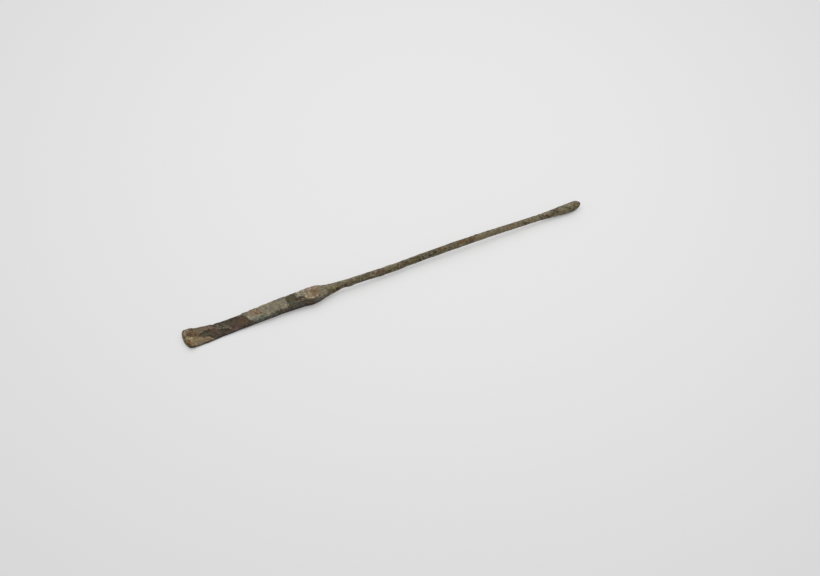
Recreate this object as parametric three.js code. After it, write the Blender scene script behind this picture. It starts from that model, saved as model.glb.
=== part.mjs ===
// Spatula probe: a hand instrument hammered from one copper-alloy rod, as found, with burial crust on its blade.
// The flat blade flares to a blunt spatula end, widens again to an angular shoulder, and runs through a tapered
// neck into a slender round shaft, slightly bowed, that swells into an olive-shaped probe.
// It lies as it rests on a table: +X runs from the spatula to the olive, +Y across the blade and +Z up, with the
// origin under the middle of its length on the resting plane. Units are millimetres.
import * as THREE from "three";

// Lengths along the instrument
const flareLength = 17.5; // spatula end to the narrow waist
const taperLength = 33.5; // waist to the corner of the shoulder
const neckLength = 12.5; // shoulder corner to the round shaft
const shaftLength = 73.5;
const oliveLength = 18; // start of the swelling to its tip
const oliveCapLength = 4.2; // widest place of the olive to its tip

// Widths across the blade, and thicknesses through it
const endWidth = 8.5;
const waistWidth = 6;
const shoulderWidth = 7.2;
const endThickness = 0.8;
const waistThickness = 1;
const shoulderThickness = 1.95;

// Diameters of the round parts
const shaftRootDiameter = 2.65;
const shaftMiddleDiameter = 2.6;
const shaftEndDiameter = 2.3;
const oliveDiameter = 3.6;

// The spatula's end
const endBow = 0.9; // how far the end stands out past its corners
const endCornerRadius = 0.8;
const endEdgeRound = 0.5; // depth of the worn rounding along the edge

// How the instrument rests: height of its underside above the table at each place
const endLift = 0.9;
const taperClearance = 1;
const shoulderClearance = 1.25;
const neckClearance = 1.3;
const dipClearance = 0.95;
const bowClearance = 1.42;
const oliveRootClearance = 0.95;
const contactLength = 4; // stretch of the blade that touches the table
const contactWear = 0.03; // depth worn flat where the blade and the olive touch it

// Burial crusts: thin sheets of mineral bedded on the upper face of the blade
const crustSeat = 0.05; // bedding gap between a crust and the metal under it
const crustRim = 1.4; // width over which a crust thins towards its broken edge
const raggedReach = 0.45; // how far a crust's broken ends wander along the blade
const endCrustThickness = 0.16;
const endCrustStart = 0.7; // each crust's place, from the spatula end
const endCrustLength = 9.8;
const bladeCrustThickness = 0.22;
const bladeCrustStart = 24.5;
const bladeCrustLength = 15;
const shoulderCrustThickness = 0.2;
const shoulderCrustStart = 43;
const shoulderCrustLength = 9;

// Outlines: each pair is a share of the way along a stretch and a share of the change of size over it.
const flareWidthShares = [[0, 1], [0.1, 0.99], [0.3, 0.76], [0.55, 0.42], [0.78, 0.15]];
const taperWidthShares = [[0, 0], [0.3, 0.14], [0.6, 0.38], [0.8, 0.72], [0.92, 0.94], [0.98, 1]];
const neckWidthShares = [[0.04, 0.92], [0.16, 0.65], [0.3, 0.39], [0.5, 0.18], [0.75, 0.05], [1, 0]];
const taperThicknessShares = [[0, 0], [0.35, 0.2], [0.65, 0.55], [0.9, 0.92], [1, 1]];
const oliveShares = [[0, 0], [0.1, 0.06], [0.2, 0.16], [0.32, 0.3], [0.46, 0.56], [0.6, 0.83], [0.7, 0.96]];

// Places as shares of the stretch that they lie on
const contactPlaceShare = 0.4; // middle of the touching stretch, on the flare
const taperPlaceShare = 0.55;
const dipPlaceShare = 0.24;
const shaftMiddleShare = 0.5;
const bowPlaceShare = 0.6;
const shaftThinShare = 0.8; // where the shaft has thinned to its end diameter

// Shares of the width or thickness that they belong to
const endApexShare = -0.26; // where the end stands out most, from the blade's middle line
const endEdgeShare = 0.45; // thickness left at the very edge of the end
const endCrustShares = [-0.88, -0.06]; // near and far edge of each crust, from the middle line
const bladeCrustShares = [-0.86, 0.88];
const shoulderCrustShares = [-0.55, 0.8];
const raggedSideShare = 0.05; // how far a crust's side edges wander
const fineWaveShare = 0.6; // the finer waves of a ragged edge against the broader ones
const crustRimShare = 0.5; // thickness of a crust at its very rim

// Sections are superellipses: a high power is a flat bar with soft corners, and 2 is a circle.
const bladePower = 4.6;
const shoulderPower = 2.8;
const roundPower = 2;
const endBowPower = 1.5; // how sharply the end falls back from its apex
const broadWave = 5.3; // radians of a ragged edge's waves over one side of a crust
const fineWave = 11.9;

// The sides of a crust, each of which takes its own stretch of the ragged waves
const [startSide, endSide, nearSide, farSide] = [0, 1, 2, 3];

// Counts
const sides = 24;
const endRings = 6;
const bladeRings = 34;
const neckRings = 12;
const shaftRings = 22;
const oliveRings = 12;
const capRings = 8;
const crustColumns = 18;
const crustRows = 8;

// A body ring starts on the far side, and a crust ring at its far rim.
const bodyFold = 0;
const crustFold = -1;

// Looks
const patina = { color: 0x6b6150, metalness: 0.35, roughness: 0.62 };
const tanEarth = { color: 0x867458, metalness: 0, roughness: 0.95 };
const greyMineral = { color: 0x7f7763, metalness: 0, roughness: 0.92 };
const pinkMineral = { color: 0x8a7a66, metalness: 0, roughness: 0.9 };

// Places along the instrument, from the spatula end
const waist = flareLength;
const shoulder = waist + taperLength;
const shaftRoot = shoulder + neckLength;
const oliveRoot = shaftRoot + shaftLength;
const tip = oliveRoot + oliveLength;
const oliveWidest = tip - oliveCapLength;
const alongTaper = (share) => waist + taperLength * share;
const alongShaft = (share) => shaftRoot + shaftLength * share;
const fromMiddle = (place) => place - tip / 2;

// A smooth curve through points [place, value] that doesn't swing past them.
function profile(points) {
  const steps = points.slice(1).map(([x, y], i) => (y - points[i][1]) / (x - points[i][0]));
  const slopes = points.map((_, i) => {
    if (i === 0) return steps[0];
    if (i === steps.length) return steps[i - 1];
    const [before, after] = [steps[i - 1], steps[i]];
    return before * after > 0 ? (2 * before * after) / (before + after) : 0;
  });
  return (place) => {
    const x = THREE.MathUtils.clamp(place, points[0][0], points.at(-1)[0]);
    const i = Math.min(points.findLastIndex(([start]) => start <= x), steps.length - 1);
    const span = points[i + 1][0] - points[i][0];
    const t = (x - points[i][0]) / span;
    const rest = 1 - t;
    return (
      (1 + 2 * t) * rest * rest * points[i][1] +
      t * rest * rest * span * slopes[i] +
      t * t * (3 - 2 * t) * points[i + 1][1] -
      t * t * rest * span * slopes[i + 1]
    );
  };
}

// Points of an outline over a stretch on which the size changes from one value to another.
const outline = (start, length, from, to, shares) =>
  shares.map(([along, change]) => [start + length * along, from + (to - from) * change]);

const shaftSizes = [
  [shaftRoot, shaftRootDiameter],
  [alongShaft(shaftMiddleShare), shaftMiddleDiameter],
  [alongShaft(shaftThinShare), shaftEndDiameter],
];
const oliveSizes = [
  ...outline(oliveRoot, oliveLength, shaftEndDiameter, oliveDiameter, oliveShares),
  [oliveWidest, oliveDiameter],
];
const plainWidth = profile([
  ...outline(0, flareLength, waistWidth, endWidth, flareWidthShares),
  ...outline(waist, taperLength, waistWidth, shoulderWidth, taperWidthShares),
  ...outline(shoulder, neckLength, shaftRootDiameter, shoulderWidth, neckWidthShares),
  ...shaftSizes.slice(1),
  ...oliveSizes,
]);
const plainThickness = profile([
  [0, endThickness],
  ...outline(waist, taperLength, waistThickness, shoulderThickness, taperThicknessShares),
  ...shaftSizes,
  ...oliveSizes,
]);

// Share of the full size at a distance into a quarter-round of a given depth.
function roundedShare(distance, depth) {
  const outward = 1 - Math.min(distance / depth, 1);
  return Math.sqrt(1 - outward * outward);
}

// The olive ends in half an ellipse, and the spatula's end has round corners and a worn edge.
const capShare = (x) => roundedShare(tip - x, oliveCapLength);
const cornerLoss = (x) => 2 * endCornerRadius * (1 - roundedShare(x, endCornerRadius));
const edgeShare = (x) => endEdgeShare + (1 - endEdgeShare) * roundedShare(x, endEdgeRound);

const width = (x) => plainWidth(x) * capShare(x) - cornerLoss(x);
const unwornThickness = (x) => plainThickness(x) * capShare(x);
const thickness = (x) => unwornThickness(x) * edgeShare(x);

const power = profile([
  [0, bladePower],
  [waist, bladePower],
  [shoulder, shoulderPower],
  [shaftRoot, roundPower],
  [tip, roundPower],
]);

const contactMiddle = flareLength * contactPlaceShare;
const undersides = [
  [0, endLift],
  [contactMiddle - contactLength / 2, -contactWear],
  [contactMiddle + contactLength / 2, -contactWear],
  [alongTaper(taperPlaceShare), taperClearance],
  [shoulder, shoulderClearance],
  [shaftRoot, neckClearance],
  [alongShaft(dipPlaceShare), dipClearance],
  [alongShaft(bowPlaceShare), bowClearance],
  [oliveRoot, oliveRootClearance],
  [oliveWidest, -contactWear],
];
const axisHeight = profile([
  ...undersides.map(([x, clearance]) => [x, clearance + unwornThickness(x) / 2]),
  [tip, oliveDiameter / 2 - contactWear],
]);

// How far a point of the end falls back from its apex. It fades out along the flare.
function setback(x, across) {
  const fade = Math.max(1 - x / flareLength, 0);
  const reach = 1 - Math.sign(across - endApexShare) * endApexShare;
  return endBow * fade * Math.pow(Math.abs(across - endApexShare) / reach, endBowPower);
}

// Half height of a section at a share of its half width.
const heightShare = (across, exponent) => Math.pow(1 - Math.pow(Math.abs(across), exponent), 1 / exponent);

// A point on the surface: up is +1 on the upper side and -1 on the underside, which the table has worn flat.
function surfacePoint(x, across, up, rise = 0) {
  const height = axisHeight(x) + (up * thickness(x) * heightShare(across, power(x))) / 2;
  return new THREE.Vector3(
    fromMiddle(x) + setback(x, across),
    (across * width(x)) / 2,
    Math.max(height + rise, 0),
  );
}

function bodyRing(x) {
  return Array.from({ length: sides }, (_, i) => {
    const angle = (2 * Math.PI * i) / sides;
    return surfacePoint(x, Math.cos(angle), Math.sign(Math.sin(angle)));
  });
}

// Triangles that close a ring across its thickness, from each point of its upper side to the point under it. The
// places of two such points in the ring add up to the fold.
function closing(count, fold) {
  const under = (place) => (count + fold - place) % count;
  const corners = Array.from({ length: count / 2 }, (_, place) => [place, place + 1, under(place + 1), under(place)]);
  const triangles = corners.flatMap(([a, b, c, d]) => [
    [a, b, c],
    [a, c, d],
  ]);
  return triangles.filter((triangle) => new Set(triangle).size === triangle.length);
}

// A closed skin over rings of points, which turn from +Y to +Z. It ends in a fan of triangles round a tip, if any.
function skin(rings, fold, tip) {
  const count = rings[0].length;
  const points = rings.flat();
  const lastRing = (rings.length - 1) * count;
  const ends = closing(count, fold);
  const triangles = ends.flatMap(([a, b, c]) => [c, b, a]);
  for (let j = 0; j < count; j++) {
    const next = (j + 1) % count;
    for (let start = 0; start < lastRing; start += count) {
      const [a, b, c, d] = [start + j, start + next, start + count + next, start + count + j];
      triangles.push(a, b, c, a, c, d);
    }
    if (tip) triangles.push(points.length, lastRing + j, lastRing + next);
  }
  if (tip) points.push(tip);
  else triangles.push(...ends.flat().map((place) => lastRing + place));
  const geometry = new THREE.BufferGeometry().setFromPoints(points);
  geometry.setIndex(triangles);
  geometry.computeVertexNormals();
  return geometry;
}

// Even steps over a stretch, without its last place.
const steps = (from, to, count) => Array.from({ length: count }, (_, i) => from + ((to - from) * i) / count);

function bodyGeometry() {
  const capAngles = steps(0, Math.PI / 2, capRings);
  const places = [
    ...steps(0, endCornerRadius, endRings),
    ...steps(endCornerRadius, shoulder, bladeRings),
    ...steps(shoulder, shaftRoot, neckRings),
    ...steps(shaftRoot, oliveRoot, shaftRings),
    ...steps(oliveRoot, oliveWidest, oliveRings),
    ...capAngles.map((angle) => oliveWidest + oliveCapLength * Math.sin(angle)),
  ];
  const oliveTip = new THREE.Vector3(fromMiddle(tip), 0, axisHeight(tip));
  return skin(places.map(bodyRing), bodyFold, oliveTip);
}

// A crust runs between two places along the blade and two shares of its half width. Each side is moved in and
// out by ragged waves, and the sheet thins towards its rim.
function crustGeometry({ start, length, full, sideShares, phase }) {
  const [nearShare, farShare] = sideShares;
  const ragged = (along) => Math.sin(broadWave * along + phase) + fineWaveShare * Math.sin(fineWave * along - phase);
  const point = (column, row, raised) => {
    const [u, v] = [column / crustColumns, row / crustRows];
    const first = start + raggedReach * ragged(v + startSide);
    const last = start + length - raggedReach * ragged(v + endSide);
    const x = first + (last - first) * u;
    const near = nearShare + raggedSideShare * ragged(u + nearSide);
    const far = farShare - raggedSideShare * ragged(u + farSide);
    const inward = Math.min(u, 1 - u) * (last - first);
    const sideways = (Math.min(v, 1 - v) * (far - near) * width(x)) / 2;
    const thinned = Math.min(inward / crustRim, sideways / crustRim, 1);
    const rise = raised ? full * (crustRimShare + (1 - crustRimShare) * thinned) : 0;
    return surfacePoint(x, near + (far - near) * v, 1, crustSeat + rise);
  };
  const rows = Array.from({ length: crustRows + 1 }, (_, row) => row);
  const ring = (column) => [
    ...rows.map((row) => point(column, crustRows - row, true)),
    ...rows.map((row) => point(column, row, false)),
  ];
  return skin(Array.from({ length: crustColumns + 1 }, (_, column) => ring(column)), crustFold);
}

function part(name, geometry, look) {
  const mesh = new THREE.Mesh(geometry, new THREE.MeshStandardMaterial(look));
  mesh.name = name;
  return mesh;
}

const endCrust = {
  start: endCrustStart,
  length: endCrustLength,
  full: endCrustThickness,
  sideShares: endCrustShares,
  phase: 0.9,
};
const bladeCrust = {
  start: bladeCrustStart,
  length: bladeCrustLength,
  full: bladeCrustThickness,
  sideShares: bladeCrustShares,
  phase: 2.3,
};
const shoulderCrust = {
  start: shoulderCrustStart,
  length: shoulderCrustLength,
  full: shoulderCrustThickness,
  sideShares: shoulderCrustShares,
  phase: 4.1,
};

const probe = new THREE.Group();
probe.add(part("probe_body", bodyGeometry(), patina));
probe.add(part("end_crust", crustGeometry(endCrust), tanEarth));
probe.add(part("blade_crust", crustGeometry(bladeCrust), greyMineral));
probe.add(part("shoulder_crust", crustGeometry(shoulderCrust), pinkMineral));
export default probe;
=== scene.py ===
import itertools
import math

import bpy
import numpy as np
from mathutils import Color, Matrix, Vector


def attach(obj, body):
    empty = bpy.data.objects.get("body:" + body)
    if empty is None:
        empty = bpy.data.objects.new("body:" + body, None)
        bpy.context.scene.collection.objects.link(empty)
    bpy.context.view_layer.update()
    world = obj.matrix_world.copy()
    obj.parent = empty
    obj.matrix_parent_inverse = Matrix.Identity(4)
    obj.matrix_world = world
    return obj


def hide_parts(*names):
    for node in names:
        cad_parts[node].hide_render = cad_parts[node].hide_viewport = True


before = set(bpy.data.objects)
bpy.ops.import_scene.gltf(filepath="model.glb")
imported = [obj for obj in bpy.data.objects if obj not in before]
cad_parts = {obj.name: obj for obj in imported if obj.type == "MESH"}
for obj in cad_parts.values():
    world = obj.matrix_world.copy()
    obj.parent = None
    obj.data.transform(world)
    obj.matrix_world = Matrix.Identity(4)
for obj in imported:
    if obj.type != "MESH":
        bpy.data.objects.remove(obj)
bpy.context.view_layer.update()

# The instrument is worked out in millimetres: along it from the spatula end, and round it from its top
# line, where the far side counts as positive. It is built in metres.
MM = 0.001

# Lengths along the instrument
FLARE = 17.5
TAPER = 33.5
NECK = 12.5
SHAFT = 73.5
OLIVE = 18.0
OLIVE_CAP = 4.2
WAIST = FLARE
SHOULDER = WAIST + TAPER
SHAFT_ROOT = SHOULDER + NECK
OLIVE_ROOT = SHAFT_ROOT + SHAFT
TIP = OLIVE_ROOT + OLIVE
OLIVE_WIDEST = TIP - OLIVE_CAP

# Widths, thicknesses and diameters
END_WIDTH = 8.5
WAIST_WIDTH = 6.0
SHOULDER_WIDTH = 7.2
END_THICKNESS = 0.8
WAIST_THICKNESS = 1.0
SHOULDER_THICKNESS = 1.95
SHAFT_ROOT_DIAMETER = 2.65
SHAFT_MIDDLE_DIAMETER = 2.6
SHAFT_END_DIAMETER = 2.3
OLIVE_DIAMETER = 3.6

# The spatula's end, and how high the underside lies above the table at each place
END_BOW = 0.9
END_CORNER_RADIUS = 0.8
END_EDGE_ROUND = 0.5
END_LIFT = 0.9
TAPER_CLEARANCE = 1.0
SHOULDER_CLEARANCE = 1.25
NECK_CLEARANCE = 1.3
DIP_CLEARANCE = 0.95
BOW_CLEARANCE = 1.42
OLIVE_ROOT_CLEARANCE = 0.95
CONTACT_LENGTH = 4.0
CONTACT_WEAR = 0.03

# Outlines: each pair is a share of the way along a stretch and a share of the change of size over it.
FLARE_WIDTH_SHARES = [(0, 1), (0.1, 0.99), (0.3, 0.76), (0.55, 0.42), (0.78, 0.15)]
TAPER_WIDTH_SHARES = [(0, 0), (0.3, 0.14), (0.6, 0.38), (0.8, 0.72), (0.92, 0.94), (0.98, 1)]
NECK_WIDTH_SHARES = [(0.04, 0.92), (0.16, 0.65), (0.3, 0.39), (0.5, 0.18), (0.75, 0.05), (1, 0)]
TAPER_THICKNESS_SHARES = [(0, 0), (0.35, 0.2), (0.65, 0.55), (0.9, 0.92), (1, 1)]
OLIVE_SHARES = [(0, 0), (0.1, 0.06), (0.2, 0.16), (0.32, 0.3), (0.46, 0.56), (0.6, 0.83), (0.7, 0.96)]
CONTACT_PLACE_SHARE = 0.4
TAPER_PLACE_SHARE = 0.55
DIP_PLACE_SHARE = 0.24
SHAFT_MIDDLE_SHARE = 0.5
BOW_PLACE_SHARE = 0.6
SHAFT_THIN_SHARE = 0.8
END_APEX_SHARE = -0.26
END_EDGE_SHARE = 0.45

# Powers of the superelliptic sections: a high power is a flat bar with soft corners, and 2 is a circle.
BLADE_POWER = 4.6
SHOULDER_POWER = 2.8
ROUND_POWER = 2
END_BOW_POWER = 1.5

# The shaft isn't quite straight: how far it strays to the far side at places along it
STRAYING = [
    (0, 0.12), (WAIST, -0.16), (38, -0.05), (SHOULDER, -0.26), (57, -0.22), (64, -0.38), (77, -0.42),
    (83, -0.26), (92, -0.1), (108, -0.04), (122, 0), (138, -0.08), (OLIVE_WIDEST, 0.02), (TIP, 0.4),
]

# How far the end's worn edge falls back from its bow, at shares of the half width
END_WEAR = [(-1, 0.25), (-0.35, 0.3), (0.07, 0.23), (0.35, 0.12), (0.7, 0.08), (0.9, 0.26), (1, 0.5)]
END_WEAR_LENGTH = 2.5

# How much further the olive's tip reaches than its even round would
TIP_REACH = 0.35


def profile(points):
    """A smooth curve through points (place, value) that doesn't swing past them."""
    xs, ys = np.array(points, float).T
    spans = np.diff(xs)
    steps = np.diff(ys) / spans
    slopes = np.concatenate([steps[:1], np.zeros(len(xs) - 2), steps[-1:]])
    for i in range(1, len(xs) - 1):
        if steps[i - 1] * steps[i] > 0:
            slopes[i] = 2 * steps[i - 1] * steps[i] / (steps[i - 1] + steps[i])

    def curve(place):
        x = np.clip(place, xs[0], xs[-1])
        i = np.clip(np.searchsorted(xs, x, side="right") - 1, 0, len(spans) - 1)
        t = (x - xs[i]) / spans[i]
        rest = 1 - t
        return (
            (1 + 2 * t) * rest * rest * ys[i]
            + t * rest * rest * spans[i] * slopes[i]
            + t * t * (3 - 2 * t) * ys[i + 1]
            - t * t * rest * spans[i] * slopes[i + 1]
        )

    return curve


def outline(start, length, first, last, shares):
    return [(start + length * along, first + (last - first) * change) for along, change in shares]


def rounded_share(distance, depth):
    """Share of the full size at a distance into a quarter-round of a given depth."""
    outward = 1 - np.minimum(distance / depth, 1)
    return np.sqrt(np.maximum(1 - outward * outward, 0))


def ramp(value, low, high):
    """A smooth step from 0 at low to 1 at high."""
    share = np.clip((value - low) / (high - low), 0, 1)
    return share * share * (3 - 2 * share)


shaft_sizes = [
    (SHAFT_ROOT, SHAFT_ROOT_DIAMETER),
    (SHAFT_ROOT + SHAFT * SHAFT_MIDDLE_SHARE, SHAFT_MIDDLE_DIAMETER),
    (SHAFT_ROOT + SHAFT * SHAFT_THIN_SHARE, SHAFT_END_DIAMETER),
]
olive_sizes = outline(OLIVE_ROOT, OLIVE, SHAFT_END_DIAMETER, OLIVE_DIAMETER, OLIVE_SHARES)
olive_sizes.append((OLIVE_WIDEST, OLIVE_DIAMETER))
plain_width = profile(
    outline(0, FLARE, WAIST_WIDTH, END_WIDTH, FLARE_WIDTH_SHARES)
    + outline(WAIST, TAPER, WAIST_WIDTH, SHOULDER_WIDTH, TAPER_WIDTH_SHARES)
    + outline(SHOULDER, NECK, SHAFT_ROOT_DIAMETER, SHOULDER_WIDTH, NECK_WIDTH_SHARES)
    + shaft_sizes[1:]
    + olive_sizes
)
plain_thickness = profile(
    [(0, END_THICKNESS)]
    + outline(WAIST, TAPER, WAIST_THICKNESS, SHOULDER_THICKNESS, TAPER_THICKNESS_SHARES)
    + shaft_sizes
    + olive_sizes
)
blade_powers = [(0, BLADE_POWER), (WAIST, BLADE_POWER), (SHOULDER, SHOULDER_POWER)]
section_power = profile(blade_powers + [(SHAFT_ROOT, ROUND_POWER), (TIP, ROUND_POWER)])
straying = profile(STRAYING)
end_wear = profile(END_WEAR)


def width(s):
    corner_loss = 2 * END_CORNER_RADIUS * (1 - rounded_share(s, END_CORNER_RADIUS))
    return plain_width(s) * rounded_share(TIP - s, OLIVE_CAP) - corner_loss


def unworn_thickness(s):
    return plain_thickness(s) * rounded_share(TIP - s, OLIVE_CAP)


def thickness(s):
    return unworn_thickness(s) * (END_EDGE_SHARE + (1 - END_EDGE_SHARE) * rounded_share(s, END_EDGE_ROUND))


contact_middle = FLARE * CONTACT_PLACE_SHARE
undersides = [
    (0, END_LIFT),
    (contact_middle - CONTACT_LENGTH / 2, -CONTACT_WEAR),
    (contact_middle + CONTACT_LENGTH / 2, -CONTACT_WEAR),
    (WAIST + TAPER * TAPER_PLACE_SHARE, TAPER_CLEARANCE),
    (SHOULDER, SHOULDER_CLEARANCE),
    (SHAFT_ROOT, NECK_CLEARANCE),
    (SHAFT_ROOT + SHAFT * DIP_PLACE_SHARE, DIP_CLEARANCE),
    (SHAFT_ROOT + SHAFT * BOW_PLACE_SHARE, BOW_CLEARANCE),
    (OLIVE_ROOT, OLIVE_ROOT_CLEARANCE),
    (OLIVE_WIDEST, -CONTACT_WEAR),
]
axis_height = profile(
    [(s, clearance + float(unworn_thickness(np.array(s))) / 2) for s, clearance in undersides]
    + [(TIP, OLIVE_DIAMETER / 2 - CONTACT_WEAR)]
)


def setback(s, across):
    """How far a point of the blunt end falls back from its apex. It fades out along the flare."""
    light_falloff = np.maximum(1 - s / FLARE, 0)
    reach = 1 - np.sign(across - END_APEX_SHARE) * END_APEX_SHARE
    wear = end_wear(across) * (1 - ramp(s, 0, END_WEAR_LENGTH))
    return END_BOW * light_falloff * (np.abs(across - END_APEX_SHARE) / reach) ** END_BOW_POWER + wear


def surface(s, across, up):
    """Points of the plain surface. across and up are shares of the half width and half thickness."""
    height = axis_height(s) + up * thickness(s) / 2
    side = across * width(s) / 2 + straying(s)
    forward = setback(s, across) + TIP_REACH * ramp(s, OLIVE_WIDEST, TIP)
    return np.stack([s - TIP / 2 + forward, side, height], -1)


# Places round a section
SECTION_STEPS = 240
SECTION_EASE = 3


def quarter(s):
    """Shares across and up along a quarter of the section at s, side to top, and the length so far."""
    power = section_power(s)
    ease = np.linspace(0, 1, SECTION_STEPS) ** SECTION_EASE
    angle = math.pi / 2 * ease / (ease + ease[::-1])
    across = np.cos(angle) ** (2 / power)
    up = np.sin(angle) ** (2 / power)
    steps = np.hypot(np.diff(across) * width(s) / 2, np.diff(up) * thickness(s) / 2)
    return across, up, np.concatenate([[0], np.cumsum(steps)])


def girth(s):
    return 4 * quarter(s)[2][-1]


def ring(s, around):
    """Points of the section at s that lie so many mm round it from its top line."""
    across, up, length = quarter(s)
    climb = length[-1] - np.abs(around)
    side = np.interp(np.abs(climb), length, across) * np.sign(around)
    height = np.interp(np.abs(climb), length, up) * np.sign(climb)
    return surface(np.full(len(around), s), side, height)


def outward(points, closed):
    """Unit normals of a grid of points, ring by ring."""
    if closed:
        round_step = np.roll(points, -1, 1) - np.roll(points, 1, 1)
    else:
        round_step = np.gradient(points, axis=1)
    normal = np.cross(round_step, np.gradient(points, axis=0))
    return normal / np.linalg.norm(normal, axis=-1, keepdims=True)


# Noise, pits and painted strokes, all in millimetres
LATTICE = 256
NOISE_GAIN = 1.6


def noise(points, wave, seed, octaves=1):
    """Smooth noise, about -1 to 1. Each further octave has half the wave and half the strength."""
    rng = np.random.default_rng(seed)
    table = rng.permutation(LATTICE)
    slopes = rng.normal(size=(LATTICE, 3))
    slopes /= np.linalg.norm(slopes, axis=1, keepdims=True)
    total = np.zeros(points.shape[:-1])
    for octave in range(octaves):
        place = points * 2**octave / wave
        cell = np.floor(place).astype(int)
        inside = place - cell
        ease = inside * inside * (3 - 2 * inside)
        for corner in itertools.product((0, 1), repeat=3):
            key = np.zeros(total.shape, int)
            for axis in range(3):
                key = table[(key + cell[..., axis] + corner[axis]) % LATTICE]
            weight = np.prod(np.where(corner, ease, 1 - ease), -1)
            total += weight * np.sum(slopes[key] * (inside - corner), -1) * NOISE_GAIN / 2**octave
    return total


def craters(base, stations, count, sizes, depth_share, seed):
    """Depth of round pits scattered over a grid of points. Most are near the smaller of two radii."""
    rng = np.random.default_rng(seed)
    rings = rng.integers(base.shape[0], size=count)
    sides = rng.integers(base.shape[1], size=count)
    radii = sizes[0] + (sizes[1] - sizes[0]) * rng.uniform(size=count) ** 3
    depth = np.zeros(base.shape[:2])
    for middle, side, radius in zip(rings, sides, radii):
        low, high = np.searchsorted(stations, [stations[middle] - radius, stations[middle] + radius])
        away = np.linalg.norm(base[low:high] - base[middle, side], axis=-1) / radius
        hole = radius * depth_share * np.maximum(1 - away * away, 0)
        depth[low:high] = np.maximum(depth[low:high], hole)
    return depth


def swellings(along, around, places):
    """Height of smooth bumps. Each has a place, a radius and a height, and a negative height is a bite."""
    height = np.zeros(around.shape)
    for s, turn, radius, rise in places:
        away = np.hypot(along - s, around - turn) / radius
        height += rise * np.maximum(1 - away * away, 0) ** 2
    return height


def painted(along, around, strokes, soft):
    """Cover from 0 to 1 by strokes. A stroke of a single point is a dot."""
    cover = np.zeros(around.shape)
    for density, half_breadth, *places in strokes:
        points = list(zip(places[::2], places[1::2]))
        for start, stop in list(zip(points, points[1:])) or [points * 2]:
            step = np.subtract(stop, start)
            reach = (step @ step) or 1
            share = ((along - start[0]) * step[0] + (around - start[1]) * step[1]) / reach
            share = np.clip(share, 0, 1)
            away = np.hypot(along - start[0] - share * step[0], around - start[1] - share * step[1])
            cover = np.maximum(cover, density * np.clip((half_breadth - away) / (2 * soft) + 1 / 2, 0, 1))
    return cover


# Meshes: a sleeve is a grid of rings, with its ends closed, and laid out flat in its own UV map.
UV_MAP = "OFBake"
UV_GAP = 0.4


def linked(name, data):
    """Adds an object to the scene."""
    made = bpy.data.objects.new(name, data)
    bpy.context.scene.collection.objects.link(made)
    return made


def sleeve(name, stations, points, girths, cuts=(), tip=None):
    """A closed mesh of rings, with its map cut across at the cuts. It ends flat or in a fan round a tip."""
    rings, sides = points.shape[:2]
    faces, corners = [], []
    edges = [0, *np.searchsorted(stations, cuts), rings - 1]
    lift = 0
    for low, high in zip(edges, edges[1:]):
        tall = girths[low : high + 1].max()
        middle = lift + tall / 2
        lift += tall + UV_GAP
        r, k = np.mgrid[low:high, 0:sides]
        r = r.reshape(-1, 1) + (0, 0, 1, 1)
        k = k.reshape(-1, 1) + (0, 1, 1, 0)
        faces += (r * sides + k % sides).tolist()
        flat = np.stack([stations[r] - stations[low], middle + (k / sides - 1 / 2) * girths[r]], -1)
        corners += flat.reshape(-1, 2).tolist()
        if low == 0:
            close_flat(faces, corners, points, 0, -UV_GAP, middle, girths[0], turned=False)
    length = stations[high] - stations[low] + UV_GAP
    if tip is None:
        close_flat(faces, corners, points, rings - 1, length, middle, girths[-1], turned=True)
    else:
        last = (rings - 1) * sides
        radius = girths[-1] / (2 * math.pi)
        for k in range(sides):
            faces.append([last + k, last + (k + 1) % sides, rings * sides])
            for turn in (k, k + 1):
                angle = 2 * math.pi * turn / sides
                corners.append([length + radius * (1 + math.cos(angle)), middle + radius * math.sin(angle)])
            corners.append([length + radius, middle])
    vertices = points.reshape(-1, 3)
    if tip is not None:
        vertices = np.concatenate([vertices, tip[None]])
    mesh = bpy.data.meshes.new(name)
    mesh.from_pydata((vertices * MM).tolist(), [], faces)
    mesh.polygons.foreach_set("use_smooth", [True] * len(faces))
    corners = np.array(corners)
    corners -= corners.min(0)
    corners /= corners.max()
    mesh.uv_layers.new(name=UV_MAP).uv.foreach_set("vector", corners.ravel())
    mesh.validate()
    return linked(name, mesh)


def close_flat(faces, corners, points, ring_number, edge, middle, ring_girth, turned):
    """Joins the upper half of an end ring to its lower half. turned is for the far end."""
    sides = points.shape[1]
    half = sides // 2
    first = ring_number * sides
    band = np.linalg.norm(points[ring_number, half // 2] - points[ring_number, -half // 2])
    outer = edge + (band if turned else -band)

    def flat(k):
        folded = min(k, sides - k)
        across = {True: edge, False: outer}[k < half] if k % half else (edge + outer) / 2
        return [across, middle + (folded / sides - 1 / 2) * ring_girth]

    loops = [[0, sides - 1, 1], [half - 1, half + 1, half]]
    loops += [[k, sides - k, sides - k - 1, k + 1] for k in range(1, half - 1)]
    for loop in loops:
        loop = loop[::-1] if turned else loop
        faces.append([first + k for k in loop])
        corners.extend(flat(k) for k in loop)


def give_masks(piece, masks):
    """Writes each mask to the mesh as a number per point. A tip point takes the last ring's mean."""
    for name, values in masks.items():
        flat = values.ravel()
        if len(flat) < len(piece.data.vertices):
            flat = np.append(flat, values[-1].mean())
        layer = piece.data.attributes.new(name, "FLOAT", "POINT")
        layer.data.foreach_set("value", flat.astype(np.float32))


# The wrought body: fineness, then its relief
BODY_SIDES = 96
END_STEP_ANGLES = 22
BLADE_STEP = 0.13
SHAFT_STEP = 0.19
OLIVE_STEP = 0.14
CAP_RINGS = 34
MAP_CUT_MARGIN = 1
MAP_CUTS = [SHOULDER + MAP_CUT_MARGIN, SHAFT_ROOT + SHAFT / 2 + 2 * MAP_CUT_MARGIN]
TIP_SMOOTH = 1

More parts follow.
